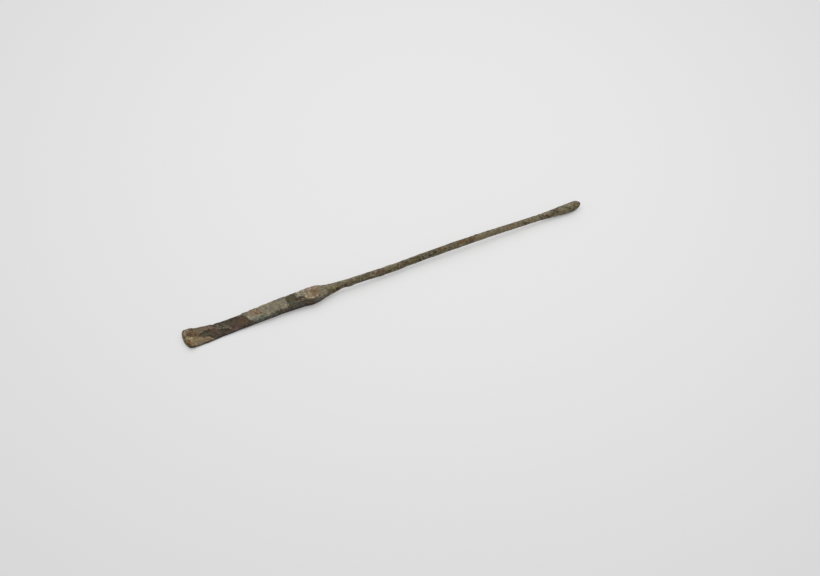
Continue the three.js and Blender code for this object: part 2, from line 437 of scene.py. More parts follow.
# How rough the metal is along it, as a share of the reliefs below
ROUGHNESS_SHARES = profile(
    [(0, 0.8), (9, 0.7), (13, 0.5), (WAIST, 0.45), (23, 0.6), (40, 0.9), (SHOULDER, 1), (TIP, 1)]
)
SWELL_WAVE = 5.5
SWELL_HEIGHT = 0.045
LUMP_WAVE = 1.7
LUMP_HEIGHT = 0.05
GRAIN_WAVE = 0.55
GRAIN_HEIGHT = 0.02
EDGE_WAVE = 2.3
EDGE_HEIGHT = 0.11
FACETS = 6
FACET_HEIGHT = 0.02
FACET_TWIST = 2
FACET_TWIST_WAVE = 9
PIT_COUNT = 900
PIT_SIZES = (0.14, 0.45)
PIT_DEPTH_SHARE = 0.3
WART_COUNT = 420
WART_SIZES = (0.18, 0.5)
WART_HEIGHT_SHARE = 0.24
PIT_FULL_DEPTH = 0.09

# Bumps and bites that the photograph shows: along, around, radius and height
BODY_SWELLINGS = [
    (3.8, 4.2, 2.5, 0.4), (4.6, -4, 3, -0.24), (7.3, 4, 1.8, 0.12), (10.6, 3.9, 0.9, 0.13),
    (12, 3.8, 1.2, -0.3), (14.8, 3.7, 0.9, -0.07), (22.4, -3.9, 1.1, 0.08), (39.1, 0, 0.36, -0.14),
    (39.4, 0.9, 0.42, -0.16), (41.8, 3.4, 3, 0.14), (46.3, -0.3, 0.4, 0.12), (47, -4, 2.8, 0.24),
    (50, -2, 0.4, 0.1), (51.4, -3.3, 2.2, -0.43), (55.4, -0.9, 0.5, 0.1), (56.2, -2.6, 2.6, 0.14),
    (56.6, -1.2, 0.5, 0.14), (58.4, -2, 0.7, 0.14), (60, -2.9, 2, -0.14), (62.9, -2.9, 1.9, 0.18),
    (66.5, -1.9, 0.8, 0.12), (71.5, -2.3, 0.7, 0.05), (74.6, -2.9, 2, 0.14), (78, -2.1, 0.9, 0.16),
    (78, 1.3, 2.5, 0.12), (84.2, -2, 0.7, -0.09), (86.5, -2.9, 4.5, -0.13), (92.5, -2.9, 4.5, -0.13),
    (92.5, -1.8, 0.8, 0.14), (100, -1.9, 0.7, -0.08), (106, -2, 0.9, 0.16), (114, -1.7, 5, 0.1),
    (116.9, -0.6, 0.35, -0.12), (120.5, -1.6, 0.7, 0.1), (128, -1.7, 0.9, 0.17), (136.5, -1.6, 5.5, -0.1),
    (140, -0.6, 0.4, -0.1), (152.8, -1.5, 1.9, -0.16), (153.4, 1.4, 2.2, 0.1),
]

# Strokes that place each tone of the metal. Each has its density, its half breadth, and then the places
# along and around, by turns, of the points that it runs through.
BODY_STROKES = {
    "earth": [
        (0.95, 1.2, 5, 2.6, 6.8, 2.5, 9.1, 2.4), (0.85, 0.9, 0.8, 3.3, 4.4, 3.3),
        (0.8, 0.6, 0.7, 2.6, 1.1, 1.3), (0.5, 0.6, 42.6, -1.1, 45.4, -1.4),
        (0.75, 0.5, 0.2, 2.4, 0.2, -2.8), (0.6, 0.5, 20.9, 2.6, 23.2, 2.4),
    ],
    "brown": [
        (1.3, 1, 1.7, 1.7, 3.4, 1.6, 5.4, 1.1), (0.6, 0.7, 63, -0.6, 65, -0.9),
        (0.6, 0.7, 72.5, -0.9, 75.4, -1.1), (0.75, 0.8, 82.4, -0.4, 85.1, -0.8),
        (0.6, 0.7, 97.3, -0.3, 100.4, -0.6), (0.85, 0.85, 105.2, -0.5, 108.6, -0.7),
        (0.85, 0.85, 110.2, -0.5, 113.8, -0.8), (0.9, 0.8, 124.6, -0.4, 127, -0.8),
        (0.6, 0.6, 131, -0.9, 133.4, -1), (0.7, 0.6, 140, -0.7, 142.4, -0.9), (0.6, 0.8, 61, 3.2, 66, 3),
        (0.6, 0.8, 88, 2.6, 93, 2.2), (0.6, 0.8, 118, 2.2, 122, 2.6),
    ],
    "russet": [
        (0.8, 0.95, 10.6, 0.8, 12.2, 0.1), (0.95, 1.35, 22.1, 0.5, 23, -1), (0.5, 1.7, 18.4, 0.2, 21, -0.2),
        (0.5, 0.6, 43.9, 0, 45.2, -0.2), (0.5, 0.6, 43, -0.9, 45.6, -1.2), (0.7, 0.9, 20.6, 6.4, 24, 7),
    ],
    "red": [
        (1, 0.5, 2.6, 1.9, 3.5, 1.6), (0.55, 0.9, 10.3, 0.8, 12.2, 0.1), (0.7, 1, 18.7, -1.6, 20.4, -1.9),
        (1.2, 0.35, 20.3, 2.1, 21.3, 1.4), (0.6, 0.4, 14, -3.3, 15.6, -3.3),
        (0.6, 0.45, 18.6, -3.2, 20.4, -3.3), (1, 0.6, 45.6, -2.7, 48.5, -3.2), (0.5, 0.5, 67, 1.2, 70.5, 1),
        (0.5, 0.5, 86.5, 1.2, 91.8, 1.1), (0.5, 0.4, 118, 0.9, 121, 0.8), (0.6, 0.9, 13, 8, 17, 7.2),
    ],
    "black": [
        (1.1, 0.3, 6.8, 0.85, 7.6, 1.1, 9.8, 0.95), (0.4, 0.4, 7.2, 0.3, 8.6, -0.4, 9.3, -1),
        (1, 0.42, 8.8, -0.9, 9.6, -1.7, 10.6, -3.2), (0.35, 0.4, 4.4, 0.7, 6.2, 0.6),
        (1.3, 0.34, 13.9, -0.4, 15.3, -0.95, 16.8, -1.6), (1, 0.24, 20.5, 2, 21.2, 1.4),
        (0.9, 0.24, 13.2, 1.6, 14.4, 1.35, 15.8, 1.25, 17, 0.6),
        (0.9, 0.2, 13.6, 0.6, 14.8, 0.45, 15.8, 0.3, 17, -0.3), (0.32, 1.1, 11.6, -2.2, 14.2, -2.4),
        (0.8, 0.5, 11.6, -3.3, 13.6, -3.4), (0.5, 0.5, 23.4, -2.4, 24, -1.4), (1, 0.34, 39.4, 0.95),
        (1, 0.3, 39.1, 0), (1, 0.34, 43.2, 0.2, 44.6, 0.1, 45.6, 0), (0.8, 0.24, 45.6, -0.2, 45.8, -0.8),
        (0.5, 0.4, 43.2, -1.9, 45.4, -2), (0.5, 0.6, 39.6, -2.9, 45.4, -2.9),
        (0.95, 0.6, 45.8, -2.4, 48.2, -2.9), (0.9, 0.38, 54.2, -1.4, 55.9, -1.3),
        (0.9, 0.22, 55.7, -0.3, 56, -0.7), (0.9, 0.24, 56.9, -1.8, 57.1, -0.4),
        (0.7, 0.45, 57.2, -1.6, 59.4, -1.4, 61.6, -1.6), (0.6, 0.4, 62.4, -1.2, 66, -1.6),
        (0.6, 0.34, 75.6, -1.6, 81.6, -1.5), (0.6, 0.4, 82, -1.5, 95, -1.5),
        (0.55, 0.6, 83, -0.1, 94, -0.4), (0.65, 0.3, 62.5, -1.6, 75, -1.7),
        (0.6, 0.3, 81.6, -0.6, 82.4, -1.1), (0.4, 0.3, 92.8, -0.4, 94.4, -0.9),
        (0.6, 0.4, 97.2, -1.3, 99.4, -1.4), (0.7, 0.3, 104, -1.3, 105.6, -1.5), (1, 0.28, 116.8, -0.6),
        (0.6, 0.3, 121.4, -0.3, 122.6, -0.9), (0.6, 0.3, 128.4, -0.2, 130.4, -0.8),
        (0.8, 0.4, 131.8, -1.3, 133.2, -1.4), (0.8, 0.3, 139.9, -0.6, 141.2, -0.9),
        (0.8, 0.42, 144, 0.4, 145.4, -1.4), (0.8, 0.35, 146.4, 1.1, 148, 0.1, 150.4, -1.4),
        (0.8, 0.3, 152, 0.9, 152.3, -0.5, 152.1, -1.7, 151.4, -2.3),
    ],
    "olive": [
        (0.7, 0.55, 7, 0.5, 8.4, 0.1, 9.5, -0.9, 10.3, -2.3, 10.7, -3.2), (0.6, 0.4, 7.2, 0.8, 9.5, 0.6),
        (0.95, 1.6, 41.2, 3.2, 41.1, 1.2), (0.8, 1.3, 41.1, 0.4, 40.9, -1.6),
        (0.7, 0.85, 66, -0.7, 69.6, -1), (0.9, 0.6, 96, 0.7, 113, 0.5), (0.7, 0.6, 114, 0.6, 138, 0.4),
        (1, 0.85, 117.4, -0.9, 121, -1.1), (0.8, 0.8, 133.6, -0.5, 139, -0.7),
        (0.85, 1, 143.6, -0.2, 146.4, -1.2), (0.6, 1.1, 98, 3, 104, 3.6), (0.6, 1.2, 70, 3.4, 76, 3),
    ],
    "khaki": [
        (0.9, 0.8, 54.7, -0.8, 57.6, -0.9), (0.75, 0.6, 76.4, -0.8, 80.6, -1),
        (0.85, 0.7, 85.3, -0.9, 88.6, -1.2), (0.75, 0.7, 101.1, -0.8, 104.4, -1.1),
        (1, 0.8, 152.6, -0.5, 153.3, -1.8), (0.7, 0.5, 149.2, -0.1, 150.2, -0.5),
        (0.7, 0.6, 114.8, 0.1, 117.2, -0.6), (0.5, 0.5, 64, 1.2, 66, 1.2), (0.5, 0.5, 76.8, 1.2, 79.4, 1.1),
        (0.5, 0.5, 131, 1, 136.4, 0.9),
    ],
    # Painted shade: the slate stroke low on the near edge from 36 to 44 mm; the others are slate-grey
    # patches
    "slate": [
        (0.6, 0.32, 7.6, 0.2, 8.6, -0.2, 9.4, -0.8), (0.8, 0.9, 39.9, -0.7, 41.8, -1.1),
        (1.2, 0.6, 49.4, -3.1, 52.2, -2.7), (0.75, 0.45, 36, -2.9, 44, -3), (0.5, 0.6, 22.8, 2.8, 24, 2.6),
        (0.6, 0.5, 33, 3.7, 34.3, 3.6), (0.5, 0.6, 79.6, 1.5, 82.4, 1.3), (0.5, 0.6, 93.4, 1, 96.6, 0.8),
        (0.8, 0.6, 145, -2.6, 151, -2.6), (0.5, 1, 30, 6.6, 36, 7.4),
    ],
    "rose": [
        (1, 0.6, 10.3, 2.3, 11.3, 1.9), (0.45, 0.6, 14.4, -2.7, 20, -2.6), (0.6, 0.5, 39.4, 2.6, 40.8, 3.2),
        (0.6, 0.5, 67.5, 0.6, 69.5, 0.4), (0.6, 0.5, 88, 0.6, 91, 0.3), (0.9, 0.6, 100.5, 0.1, 103, -0.3),
        (0.6, 0.5, 121.5, 0.3, 123.5, 0),
    ],
    "ash": [
        (0.9, 1.4, 52.2, 1.6, 52.6, -0.6, 54.2, 0.6), (0.65, 1.1, 54.8, 1.2, 58.4, 1.2),
        (0.7, 0.8, 51.6, -2.2, 53.2, -1.8), (0.5, 0.45, 53.2, -2.4, 55.6, -2.1),
        (0.8, 0.5, 59.6, 0.9, 66, 0.8), (0.7, 0.5, 71.2, 0.9, 73.8, 0.7),
        (0.6, 0.5, 70.6, -0.4, 71.4, -1.1), (0.75, 0.7, 114.6, -0.4, 116.4, -0.8),
        (0.6, 0.8, 76.8, 0.6, 80, 0.3), (0.6, 0.5, 127.6, 0.8, 138.4, 0.7), (0.6, 0.8, 88, 3.4, 96, 3.2),
        (0.6, 1.2, 20, 7, 26, 6.6),
    ],
    "tan": [
        (0.85, 0.36, 0.8, 3, 1.1, 1.6), (0.9, 0.24, 44.6, -0.5, 45.7, -1.1),
        (0.7, 0.3, 42.6, -0.9, 44, -1.5), (0.5, 0.6, 62, -1.1, 75, -1.3),
        (0.55, 0.7, 138.6, -0.4, 142.6, -0.6), (0.7, 0.7, 114, -0.3, 136, -0.4),
        (0.5, 0.6, 96, -1.6, 112, -1.6), (1.1, 1.1, 113, -1.4, 137, -1.4),
        (0.7, 0.8, 143.4, -2.2, 151, -2.3), (1, 1.1, 146.8, -0.4, 151.4, -0.6),
        (0.6, 0.7, 152.4, -0.2, 153.4, -1), (0.9, 0.3, 74.6, -1.2, 75.8, -1.5),
        (0.7, 0.4, 99.6, -0.1, 101, -0.5), (0.7, 0.35, 112, -1.3, 113.8, -1.5),
        (0.8, 0.5, 123.4, -1.3, 126.4, -1.4), (0.75, 0.6, 128, -1.2, 130.6, -1.5),
        (1, 0.85, 149.2, 0.4, 151, -0.4, 151.2, -1.2), (0.7, 0.5, 147.2, -0.6, 148, -1.4),
    ],
    "pale": [
        (0.85, 0.2, 12.6, 0.6, 13.6, 0.25, 14.6, 0.1, 15.6, -0.45, 16.6, -0.75, 17.5, -1.4),
        (0.8, 0.18, 13.2, 1.25, 14.4, 0.8, 15.5, 0.95, 16.6, 0.45, 17.1, -0.2),
        (0.75, 0.17, 14.6, 1.9, 15.8, 1.6, 16.8, 1.15), (0.75, 0.16, 15.3, 0, 16.2, -0.1, 17.2, -0.7),
        (0.7, 0.16, 12.4, 2.3, 13.2, 1.9, 13.9, 1.9), (0.9, 0.12, 16.9, -1.4, 17.5, -2.3),
        (0.9, 0.12, 11.4, 1.6, 12.4, 1.2, 13.2, 0.9), (0.8, 0.14, 10.6, -2.7, 11, -3),
        (0.7, 0.14, 81, 0.3, 81.8, -0.1), (0.7, 0.14, 71, -0.2, 71.5, -1),
    ],
    "cream": [
        (1.2, 0.26, 1.3, 3.3, 1.35, 2.7, 1.2, 1.9), (0.9, 0.16, 2, 3.5, 2.6, 3.3), (1, 0.2, 49.9, -2.4),
    ],
    "yellow": [
        (1.2, 0.28, 56.5, -1.1, 56.8, -1.3), (1.1, 0.24, 56.2, -0.5), (1.1, 0.2, 55.4, -0.9),
        (1.1, 0.24, 57.3, -0.6, 57.6, -0.9), (0.8, 0.2, 54.9, -0.2, 55.2, -0.5), (1, 0.18, 56.9, 0.1),
        (0.9, 0.16, 58.6, -0.6), (0.8, 0.14, 87.4, -1.2), (1, 0.26, 152.8, -0.8, 153.1, -1.6),
    ],
}
FINE_TONES = ("pale", "cream", "streak", "yellow")
STROKE_SOFTNESS = 0.42
FINE_SOFTNESS = 0.07
STROKE_FRAY_WAVE = 1.8
STROKE_FRAY = 0.4
FINE_FRAY_SHARE = 0.2

# Pale dust and a painted highlight lie where the shaft looks up: how far up, how strong, and the share at
# places along
DUST_AND_HIGHLIGHT_LEAST_SKY = 0.75
DUST_AND_HIGHLIGHT_STRENGTH = 0.42
DUST_AND_HIGHLIGHT_SHARES = profile(
    [(62, 1), (77, 0.6), (94, 0.6), (98, 0.1), (110, 0.1), (116, 0.9), (145, 0.9), (150, 1.5), (TIP, 1.3)]
)

# Where the shaft's colours take over from the blade's along it, and where painted shade darkens the blade's
# steep flanks
ROD_RAMP = (42, 57.5)
FLANK_SHADE_SLOPES = (0.55, 0.85)
FLANK_SHADE_RAMP = (2, 20)
FLANK_SHADE_FADE = (48, 56)

# How much each tone stands up from the metal round it, in mm
TONE_HEIGHTS = {"earth": 0.05, "black": -0.03, "slate": -0.02, "pale": 0.05, "yellow": 0.06, "ash": 0.02}


def tones(base, along, around, strokes, seed):
    """A cover for each tone. The edges of broad strokes stray more than those of fine ones."""
    stray = [STROKE_FRAY * noise(base, STROKE_FRAY_WAVE, seed + i, octaves=3) for i in range(2)]
    covers = {}
    for name, ways in strokes.items():
        fine = name in FINE_TONES
        share = FINE_FRAY_SHARE if fine else 1
        soft = FINE_SOFTNESS if fine else STROKE_SOFTNESS
        covers[name] = painted(along + share * stray[0], around + share * stray[1], ways, soft)
    return covers


def body_stations():
    end_angles = np.linspace(0, math.pi / 2, END_STEP_ANGLES, endpoint=False)
    cap_angles = np.linspace(0, math.pi / 2, CAP_RINGS, endpoint=False)
    stretches = [
        END_CORNER_RADIUS * (1 - np.cos(end_angles)),
        np.arange(END_CORNER_RADIUS, SHAFT_ROOT, BLADE_STEP),
        np.arange(SHAFT_ROOT, OLIVE_ROOT, SHAFT_STEP),
        np.arange(OLIVE_ROOT, OLIVE_WIDEST - OLIVE_STEP, OLIVE_STEP),
        OLIVE_WIDEST + OLIVE_CAP * np.sin(cap_angles),
    ]
    return np.concatenate(stretches)


def body_relief(base, normals, stations, around, masks):
    """Height of the corroded surface over the plain one, and the depth of its pits."""
    along = stations[:, None]
    rough = ROUGHNESS_SHARES(along)
    blade = 1 - ramp(along, SHOULDER, SHAFT_ROOT)
    upright = 1 - np.abs(normals[..., 2])
    turn = math.pi * around / np.abs(around).max(1, keepdims=True)
    twist = noise(along[..., None] * (1, 0, 0), FACET_TWIST_WAVE, 3)
    pits = craters(base, stations, PIT_COUNT, PIT_SIZES, PIT_DEPTH_SHARE, 5)
    warts = craters(base, stations, WART_COUNT, WART_SIZES, WART_HEIGHT_SHARE, 6)
    relief = (
        SWELL_HEIGHT * (1 - blade / 2) * noise(base, SWELL_WAVE, 1)
        + LUMP_HEIGHT * rough * noise(base, LUMP_WAVE, 2, octaves=2)
        + GRAIN_HEIGHT * rough * noise(base, GRAIN_WAVE, 4, octaves=2)
        + EDGE_HEIGHT * blade * upright * noise(base, EDGE_WAVE, 7, octaves=2)
        + FACET_HEIGHT * (1 - blade) * np.cos(FACETS * turn + FACET_TWIST * twist)
        + rough * (warts - pits)
        + swellings(along, around, BODY_SWELLINGS)
    )
    for tone, height in TONE_HEIGHTS.items():
        relief += height * masks[tone]
    return relief * ramp(TIP - along, 0, TIP_SMOOTH), rough * pits


def wrought_body():
    stations = body_stations()
    girths = np.array([girth(s) for s in stations])
    turns = BODY_SIDES / 4 - np.arange(BODY_SIDES)
    turns[turns <= -BODY_SIDES / 2] += BODY_SIDES
    around = turns / BODY_SIDES * girths[:, None]
    base = np.array([ring(s, places) for s, places in zip(stations, around)])
    normals = outward(base, closed=True)
    along = stations[:, None]
    masks = tones(base, along, around, BODY_STROKES, seed=20)
    relief, pits = body_relief(base, normals, stations, around, masks)
    points = base + normals * relief[..., None]
    points[..., 2] = np.maximum(points[..., 2], 0)
    masks["rod"] = ramp(along, *ROD_RAMP) + 0 * around
    flank_shade_share = ramp(along, *FLANK_SHADE_RAMP) * (1 - ramp(along, *FLANK_SHADE_FADE))
    # Painted shade: darker where the blade's surface turns to face sideways
    masks["flank_shade"] = ramp(np.abs(normals[..., 1]), *FLANK_SHADE_SLOPES) * flank_shade_share
    sky = outward(points, closed=True)[..., 2]
    # Dust and a painted highlight: lighter where the shaft's surface looks up
    masks["dust_and_highlight"] = DUST_AND_HIGHLIGHT_STRENGTH * ramp(sky, DUST_AND_HIGHLIGHT_LEAST_SKY, 1) * DUST_AND_HIGHLIGHT_SHARES(along) * masks["rod"]
    masks["pit"] = np.clip(pits / PIT_FULL_DEPTH, 0, 1)
    tip = surface(*np.array([TIP, 0, 0]))
    piece = sleeve("wrought_body", stations, points, girths, MAP_CUTS, tip)
    give_masks(piece, masks)
    return piece


# The burial crusts: the fineness and relief that all share, then where each lies, with its far and near
# bounds round the body at places along it, how thick it is, how many sides its rings have, and its strokes
CRUST_STEP = 0.085
CRUST_MARGIN = 0.7
CRUST_BED = 0.14
CRUST_DEPTH = 0.3
CRUST_RIM = 0.55
CRUST_FRAY_WAVE = 1.4
CRUST_FRAY = 0.48
CRUST_LUMP_WAVE = 1.3
CRUST_LUMP_HEIGHT = 0.065
CRUST_GRAIN_WAVE = 0.42
CRUST_GRAIN_HEIGHT = 0.022
CRUST_PIT_SIZES = (0.12, 0.34)
CRUST_PIT_DEPTH_SHARE = 0.32
CRUST_AREA_PER_PIT = 0.26

END_CRUST = {
    "start": 0.7, "end": 10.3, "thickness": 0.16, "sides": 140,
    "far": [
        (0.3, 1), (1.5, 0.8), (3.2, 0.45), (4.6, 0.15), (6.2, -0.4), (7.8, -1.2), (9.2, -2), (10.4, -3),
    ],
    "near": [(0.3, -3.5), (1.5, -3.8), (4, -3.8), (8, -3.6), (10.4, -3.4)],
}
END_CRUST_STROKES = {
    "warm": [
        (0.95, 0.9, 1, -3, 1.6, -2.2, 2.2, -1.3), (0.8, 0.45, 0.6, -1.6, 0.7, -2.8),
        (0.6, 0.35, 0.6, -1, 0.8, 0.3), (0.5, 0.35, 4, 0.1, 4.9, -0.6), (0.7, 0.3, 6.9, -1, 7.4, -1.4),
    ],
    "pale": [
        (1, 0.6, 1.6, 0.2, 2.7, -0.2), (0.75, 0.25, 3.4, 0.1, 3, -0.9, 2.7, -1.6),
        (0.7, 0.14, 5.2, -0.9, 6.4, -1.4), (0.7, 0.16, 8, -1.7, 9, -2.2),
    ],
    "green": [
        (0.7, 0.7, 3.6, -2.4, 2.6, -3), (0.7, 0.9, 3.9, -1.6, 5.6, -2.1), (0.5, 0.6, 6.6, -2.4, 9.6, -3),
    ],
    "rose": [(1, 0.6, 4.4, -3, 8.4, -2.9), (0.5, 0.5, 4.2, -0.5, 5.6, -0.9)],
    # Painted shade: the dark strokes along the near lower edge, past about -2.9 mm round; the others are
    # dark marks
    "dark": [
        (0.8, 0.4, 2, -3.9, 5, -3.8, 9.8, -3.5), (0.8, 0.22, 6.9, -1.3, 7.5, -1.7),
        (0.8, 0.5, 0.9, -3.4, 1.3, -2.9), (0.5, 0.3, 1.2, -0.9, 2.2, -1),
    ],
}
BLADE_CRUST = {
    "start": 23, "end": 39.3, "thickness": 0.22, "sides": 128,
    "far": [(23, 3.1), (29, 3.15), (32, 3.45), (38.4, 3.4), (39.4, 3)],
    "near": [
        (23, 1.9), (23.8, 0.8), (24.3, -0.6), (25.5, -1.9), (26.4, -2.9), (28, -3.3), (32, -3.3),
        (38.2, -3.1), (39.4, -1.2),
    ],
}
BLADE_CRUST_STROKES = {
    "warm": [
        (0.9, 1.2, 26, 1.3, 28.6, 1), (0.6, 0.6, 25.2, 1.4, 29.8, 0.6), (0.5, 0.5, 33, 1.9, 34.4, 1.5),
    ],
    "brown": [
        (1.1, 0.34, 27.6, 0.5, 28.1, 0.2), (1.1, 0.28, 29, 0.3, 29.3, 0), (1, 0.26, 28.4, 1.9, 28.7, 1.6),
        (0.6, 0.45, 25, 2.7, 27.6, 3), (0.6, 0.3, 30.4, -0.6, 30.8, -1.8), (0.6, 0.2, 33.7, 1.4, 34.2, 0.3),
        (0.5, 0.5, 38.2, 3.1, 39.2, 2.7),
    ],
    "pale": [
        (1.2, 0.5, 24.4, 0.2, 25.1, -0.6), (0.8, 0.16, 30.2, 1.6, 31, 1.1), (0.8, 0.16, 32, 1.9, 33.4, 1.2),
        (0.8, 0.2, 35.6, 1.5, 36.8, 0.9, 37.8, 0.2), (0.8, 0.14, 33.6, 1, 34.8, 0.4),
        (0.8, 0.14, 36.8, 2, 38.2, 1.1), (0.8, 0.13, 30.6, 0.5, 31.8, -0.3),
        (0.7, 0.3, 31.4, -1.3, 32.6, -1.8), (0.6, 0.3, 25.4, -0.4, 26.6, -1.2),
    ],
    "green": [(0.75, 1, 26.2, -1.7, 29.8, -1.9), (0.5, 0.7, 33.4, -1, 36, -1.5)],
    "grey": [
        (0.9, 0.9, 23, 2.4, 24.4, 2.2), (0.5, 0.9, 31, 0.4, 33.6, -0.3), (0.8, 0.8, 35.6, 2.6, 38.9, 2.2),
        (0.9, 0.5, 32.6, 3.4, 34.4, 3.4),
    ],
    # Painted shade: the long dark strokes along the near lower edge, from about -2 mm round down; the short
    # ones at the crust's end and the slanting ones are dark streaks
    "dark": [
        (0.9, 0.6, 26, -3, 29.5, -3.2, 31.5, -3.1, 34, -2.7, 39, -2.5), (0.8, 0.4, 26, -2.6, 28.2, -2.7),
        (1, 0.5, 34.6, -2.5, 38.2, -2.6), (0.7, 0.8, 27, -3.4, 39, -3.1), (0.5, 0.5, 30.6, -2, 36.6, -2),
        (0.7, 0.3, 38.9, -1.4, 39.2, -0.6), (0.7, 0.4, 38.9, 0.8, 39.3, 1.8),
        (0.6, 0.2, 36.4, 2.6, 37.6, 1.9, 38.8, 1.5), (0.6, 0.16, 34.6, 1.9, 35.6, 1, 36.2, 0),
        (0.6, 0.16, 31, 2.4, 32, 1.5, 32.8, 0.4),
    ],
    # Painted shade: a bluish band along the crust's near lower edge
    "blue_shade": [
        (1, 0.4, 26.2, -3.15, 29, -3.3), (0.6, 0.4, 29.5, -3.1, 34.5, -3.1),
        (0.6, 0.3, 37.6, -2.9, 38.6, -2.4),
    ],
}
SHOULDER_CRUST = {
    "start": 42.8, "end": 51.5, "thickness": 0.2, "sides": 112,
    "far": [(42.8, 2.6), (44.5, 3.3), (48, 3.6), (50.4, 3.3), (52, 2.2)],
    "near": [
        (42.8, 0.5), (44.4, 0.45), (45.5, 0.2), (45.9, -0.9), (47, -2.15), (49.6, -2.25), (50.8, -1.4),
        (52, 0.4),
    ],
}
SHOULDER_CRUST_STROKES = {
    "ash": [(1.1, 1.7, 42.6, 2, 45.3, 2), (0.8, 0.8, 45.8, 3.1, 46.9, 2.6), (0.7, 0.4, 46, 0.8, 46.8, 0.2)],
    "rose": [(0.9, 0.9, 47.8, 2.8, 49.6, 2.4), (0.6, 0.4, 47.9, 1, 48.3, 0)],
    "streak": [
        (0.9, 0.3, 43.2, 2.9, 44.8, 2.1, 46.4, 0.9), (0.8, 0.24, 44, 3.3, 45.4, 2.7, 46.8, 1.8),
        (0.8, 0.24, 43, 1.7, 44.2, 1.2, 45, 0.7), (0.7, 0.18, 43.4, 2.3, 44.6, 1.7),
    ],
    "warm": [
        (0.85, 0.9, 49, 1.1, 50, 0.2), (0.6, 0.6, 50.9, 0.6, 51.1, -0.8), (0.5, 0.4, 47.2, 1.6, 48.2, 1.2),
    ],
    "brown": [
        (0.65, 0.45, 48.9, 1.2, 49.4, 0.6, 50.2, 0.5), (0.7, 0.3, 49, -0.2, 49.6, -0.9),
        (0.8, 0.22, 48.5, 1.6, 49, 1.2), (0.6, 0.2, 51.4, 1.2, 51.6, -0.2),
        (0.6, 0.2, 46.6, 0.4, 46.8, -0.5),
    ],
    "pale": [
        (1.4, 0.36, 46.2, -0.2, 46.5, -0.5), (0.5, 0.35, 46.9, -1.3, 48.4, -1.8),
        (0.6, 0.26, 47.6, 0.2, 48.2, -0.2), (0.5, 0.24, 48, 2.3, 48.8, 2.1), (0.8, 0.22, 49.8, -1.9),
    ],
    # Painted shade: the dark stroke low on the near side from 46.6 to 49.6 mm; the others are dark streaks
    "dark": [
        (0.5, 0.5, 42.9, 3.2, 43, 0.6), (0.85, 0.24, 42.8, 2.4, 43.9, 1.9, 45, 1.3, 45.8, 0.7),
        (0.75, 0.2, 43.8, 3.1, 44.9, 2.5, 46.2, 1.6), (0.7, 0.2, 46.4, 2.2, 47.2, 1.4),
        (0.7, 0.3, 46.6, -1.4, 47.6, -2.3, 49.6, -2.6), (0.5, 0.2, 46.6, 1.1, 47.4, 0.4),
        (0.5, 0.3, 48.6, -0.6, 49.6, -1),
    ],
}


def crust_points(patch, stations, seed):
    """A crust's upper sheet, its lower sheet, the places of its points round the body, and its pits."""
    far = profile(patch["far"])(stations) + CRUST_MARGIN
    near = profile(patch["near"])(stations) - CRUST_MARGIN
    shares = np.linspace(0, 1, patch["sides"] // 2 + 1)
    around = far[:, None] + (near - far)[:, None] * shares
    base = np.array([ring(s, places) for s, places in zip(stations, around)])
    normals = outward(base, closed=False)
    along = stations[:, None]
    to_ends = np.minimum(along - patch["start"], patch["end"] - along)
    to_sides = np.minimum(far[:, None] - CRUST_MARGIN - around, around - near[:, None] - CRUST_MARGIN)
    to_edge = np.minimum(to_ends, to_sides) + CRUST_FRAY * noise(base, CRUST_FRAY_WAVE, seed, octaves=3)
    cover = ramp(to_edge, -CRUST_RIM / 2, CRUST_RIM / 2)
    pit_count = int(base.shape[0] * base.shape[1] * CRUST_STEP**2 / CRUST_AREA_PER_PIT)
    pits = craters(base, stations, pit_count, CRUST_PIT_SIZES, CRUST_PIT_DEPTH_SHARE, seed + 1)
    relief = (
        CRUST_LUMP_HEIGHT * noise(base, CRUST_LUMP_WAVE, seed + 2, octaves=2)
        + CRUST_GRAIN_HEIGHT * noise(base, CRUST_GRAIN_WAVE, seed + 3, octaves=2)
        - pits
    )
    height = -CRUST_BED + cover * (CRUST_BED + patch["thickness"] + relief)
    return base + normals * height[..., None], base - normals * CRUST_DEPTH, around, pits


def over_and_back(top, under):
    """Rings that go over the upper sheet and back along the lower one."""
    return np.concatenate([top, under[:, -2:0:-1]], 1)


def crust(name, patch, strokes, seed):
    """A crust with a ragged edge, bedded in the metal."""
    stations = np.arange(patch["start"] - CRUST_MARGIN, patch["end"] + CRUST_MARGIN, CRUST_STEP)
    stations = stations[stations > 0]
    top, under, around, pits = crust_points(patch, stations, seed)
    masks = tones(top, stations[:, None], around, strokes, seed + 10)
    masks["pit"] = np.clip(pits / PIT_FULL_DEPTH, 0, 1)
    masks = {tone: over_and_back(cover, cover) for tone, cover in masks.items()}
    girths = 2 * (around[:, 0] - around[:, -1])
    piece = sleeve(name, stations, over_and_back(top, under), girths)
    give_masks(piece, masks)
    return piece


# Materials: colours as they look, from 0 to 255. A material's layers are painted from the first on, and each
# has its strength for a fourth number.
TONES = {
    "chocolate": (66, 56, 45), "umber": (57, 48, 41), "cocoa": (76, 67, 54), "rod_brown": (90, 77, 56),
    "rod_olive": (86, 81, 55), "rod_grey": (125, 119, 100), "rod_rose": (129, 113, 97),
    "rod_dark": (60, 52, 37), "dust_and_highlight": (136, 127, 108), "dust_and_highlight_rose": (138, 120, 110),
    "dust_and_highlight_green": (124, 126, 106), "flank_shade": (58, 50, 49),
}
BLACK = (48, 43, 29)
CRUST_DARK = (54, 51, 43)


def linear(colour):
    """A colour from 0 to 255 as the linear one that a shader takes."""
    return (*Color([value / 255 for value in colour]).from_srgb_to_scene_linear(), 1)


def fed(tree, made, inputs):
    """Gives a node its inputs by socket. Each is a value, or another node's output."""
    for key, value in inputs.items():
        if isinstance(value, bpy.types.NodeSocket):
            tree.links.new(value, made.inputs[key])
        else:
            made.inputs[key].default_value = value
    return made


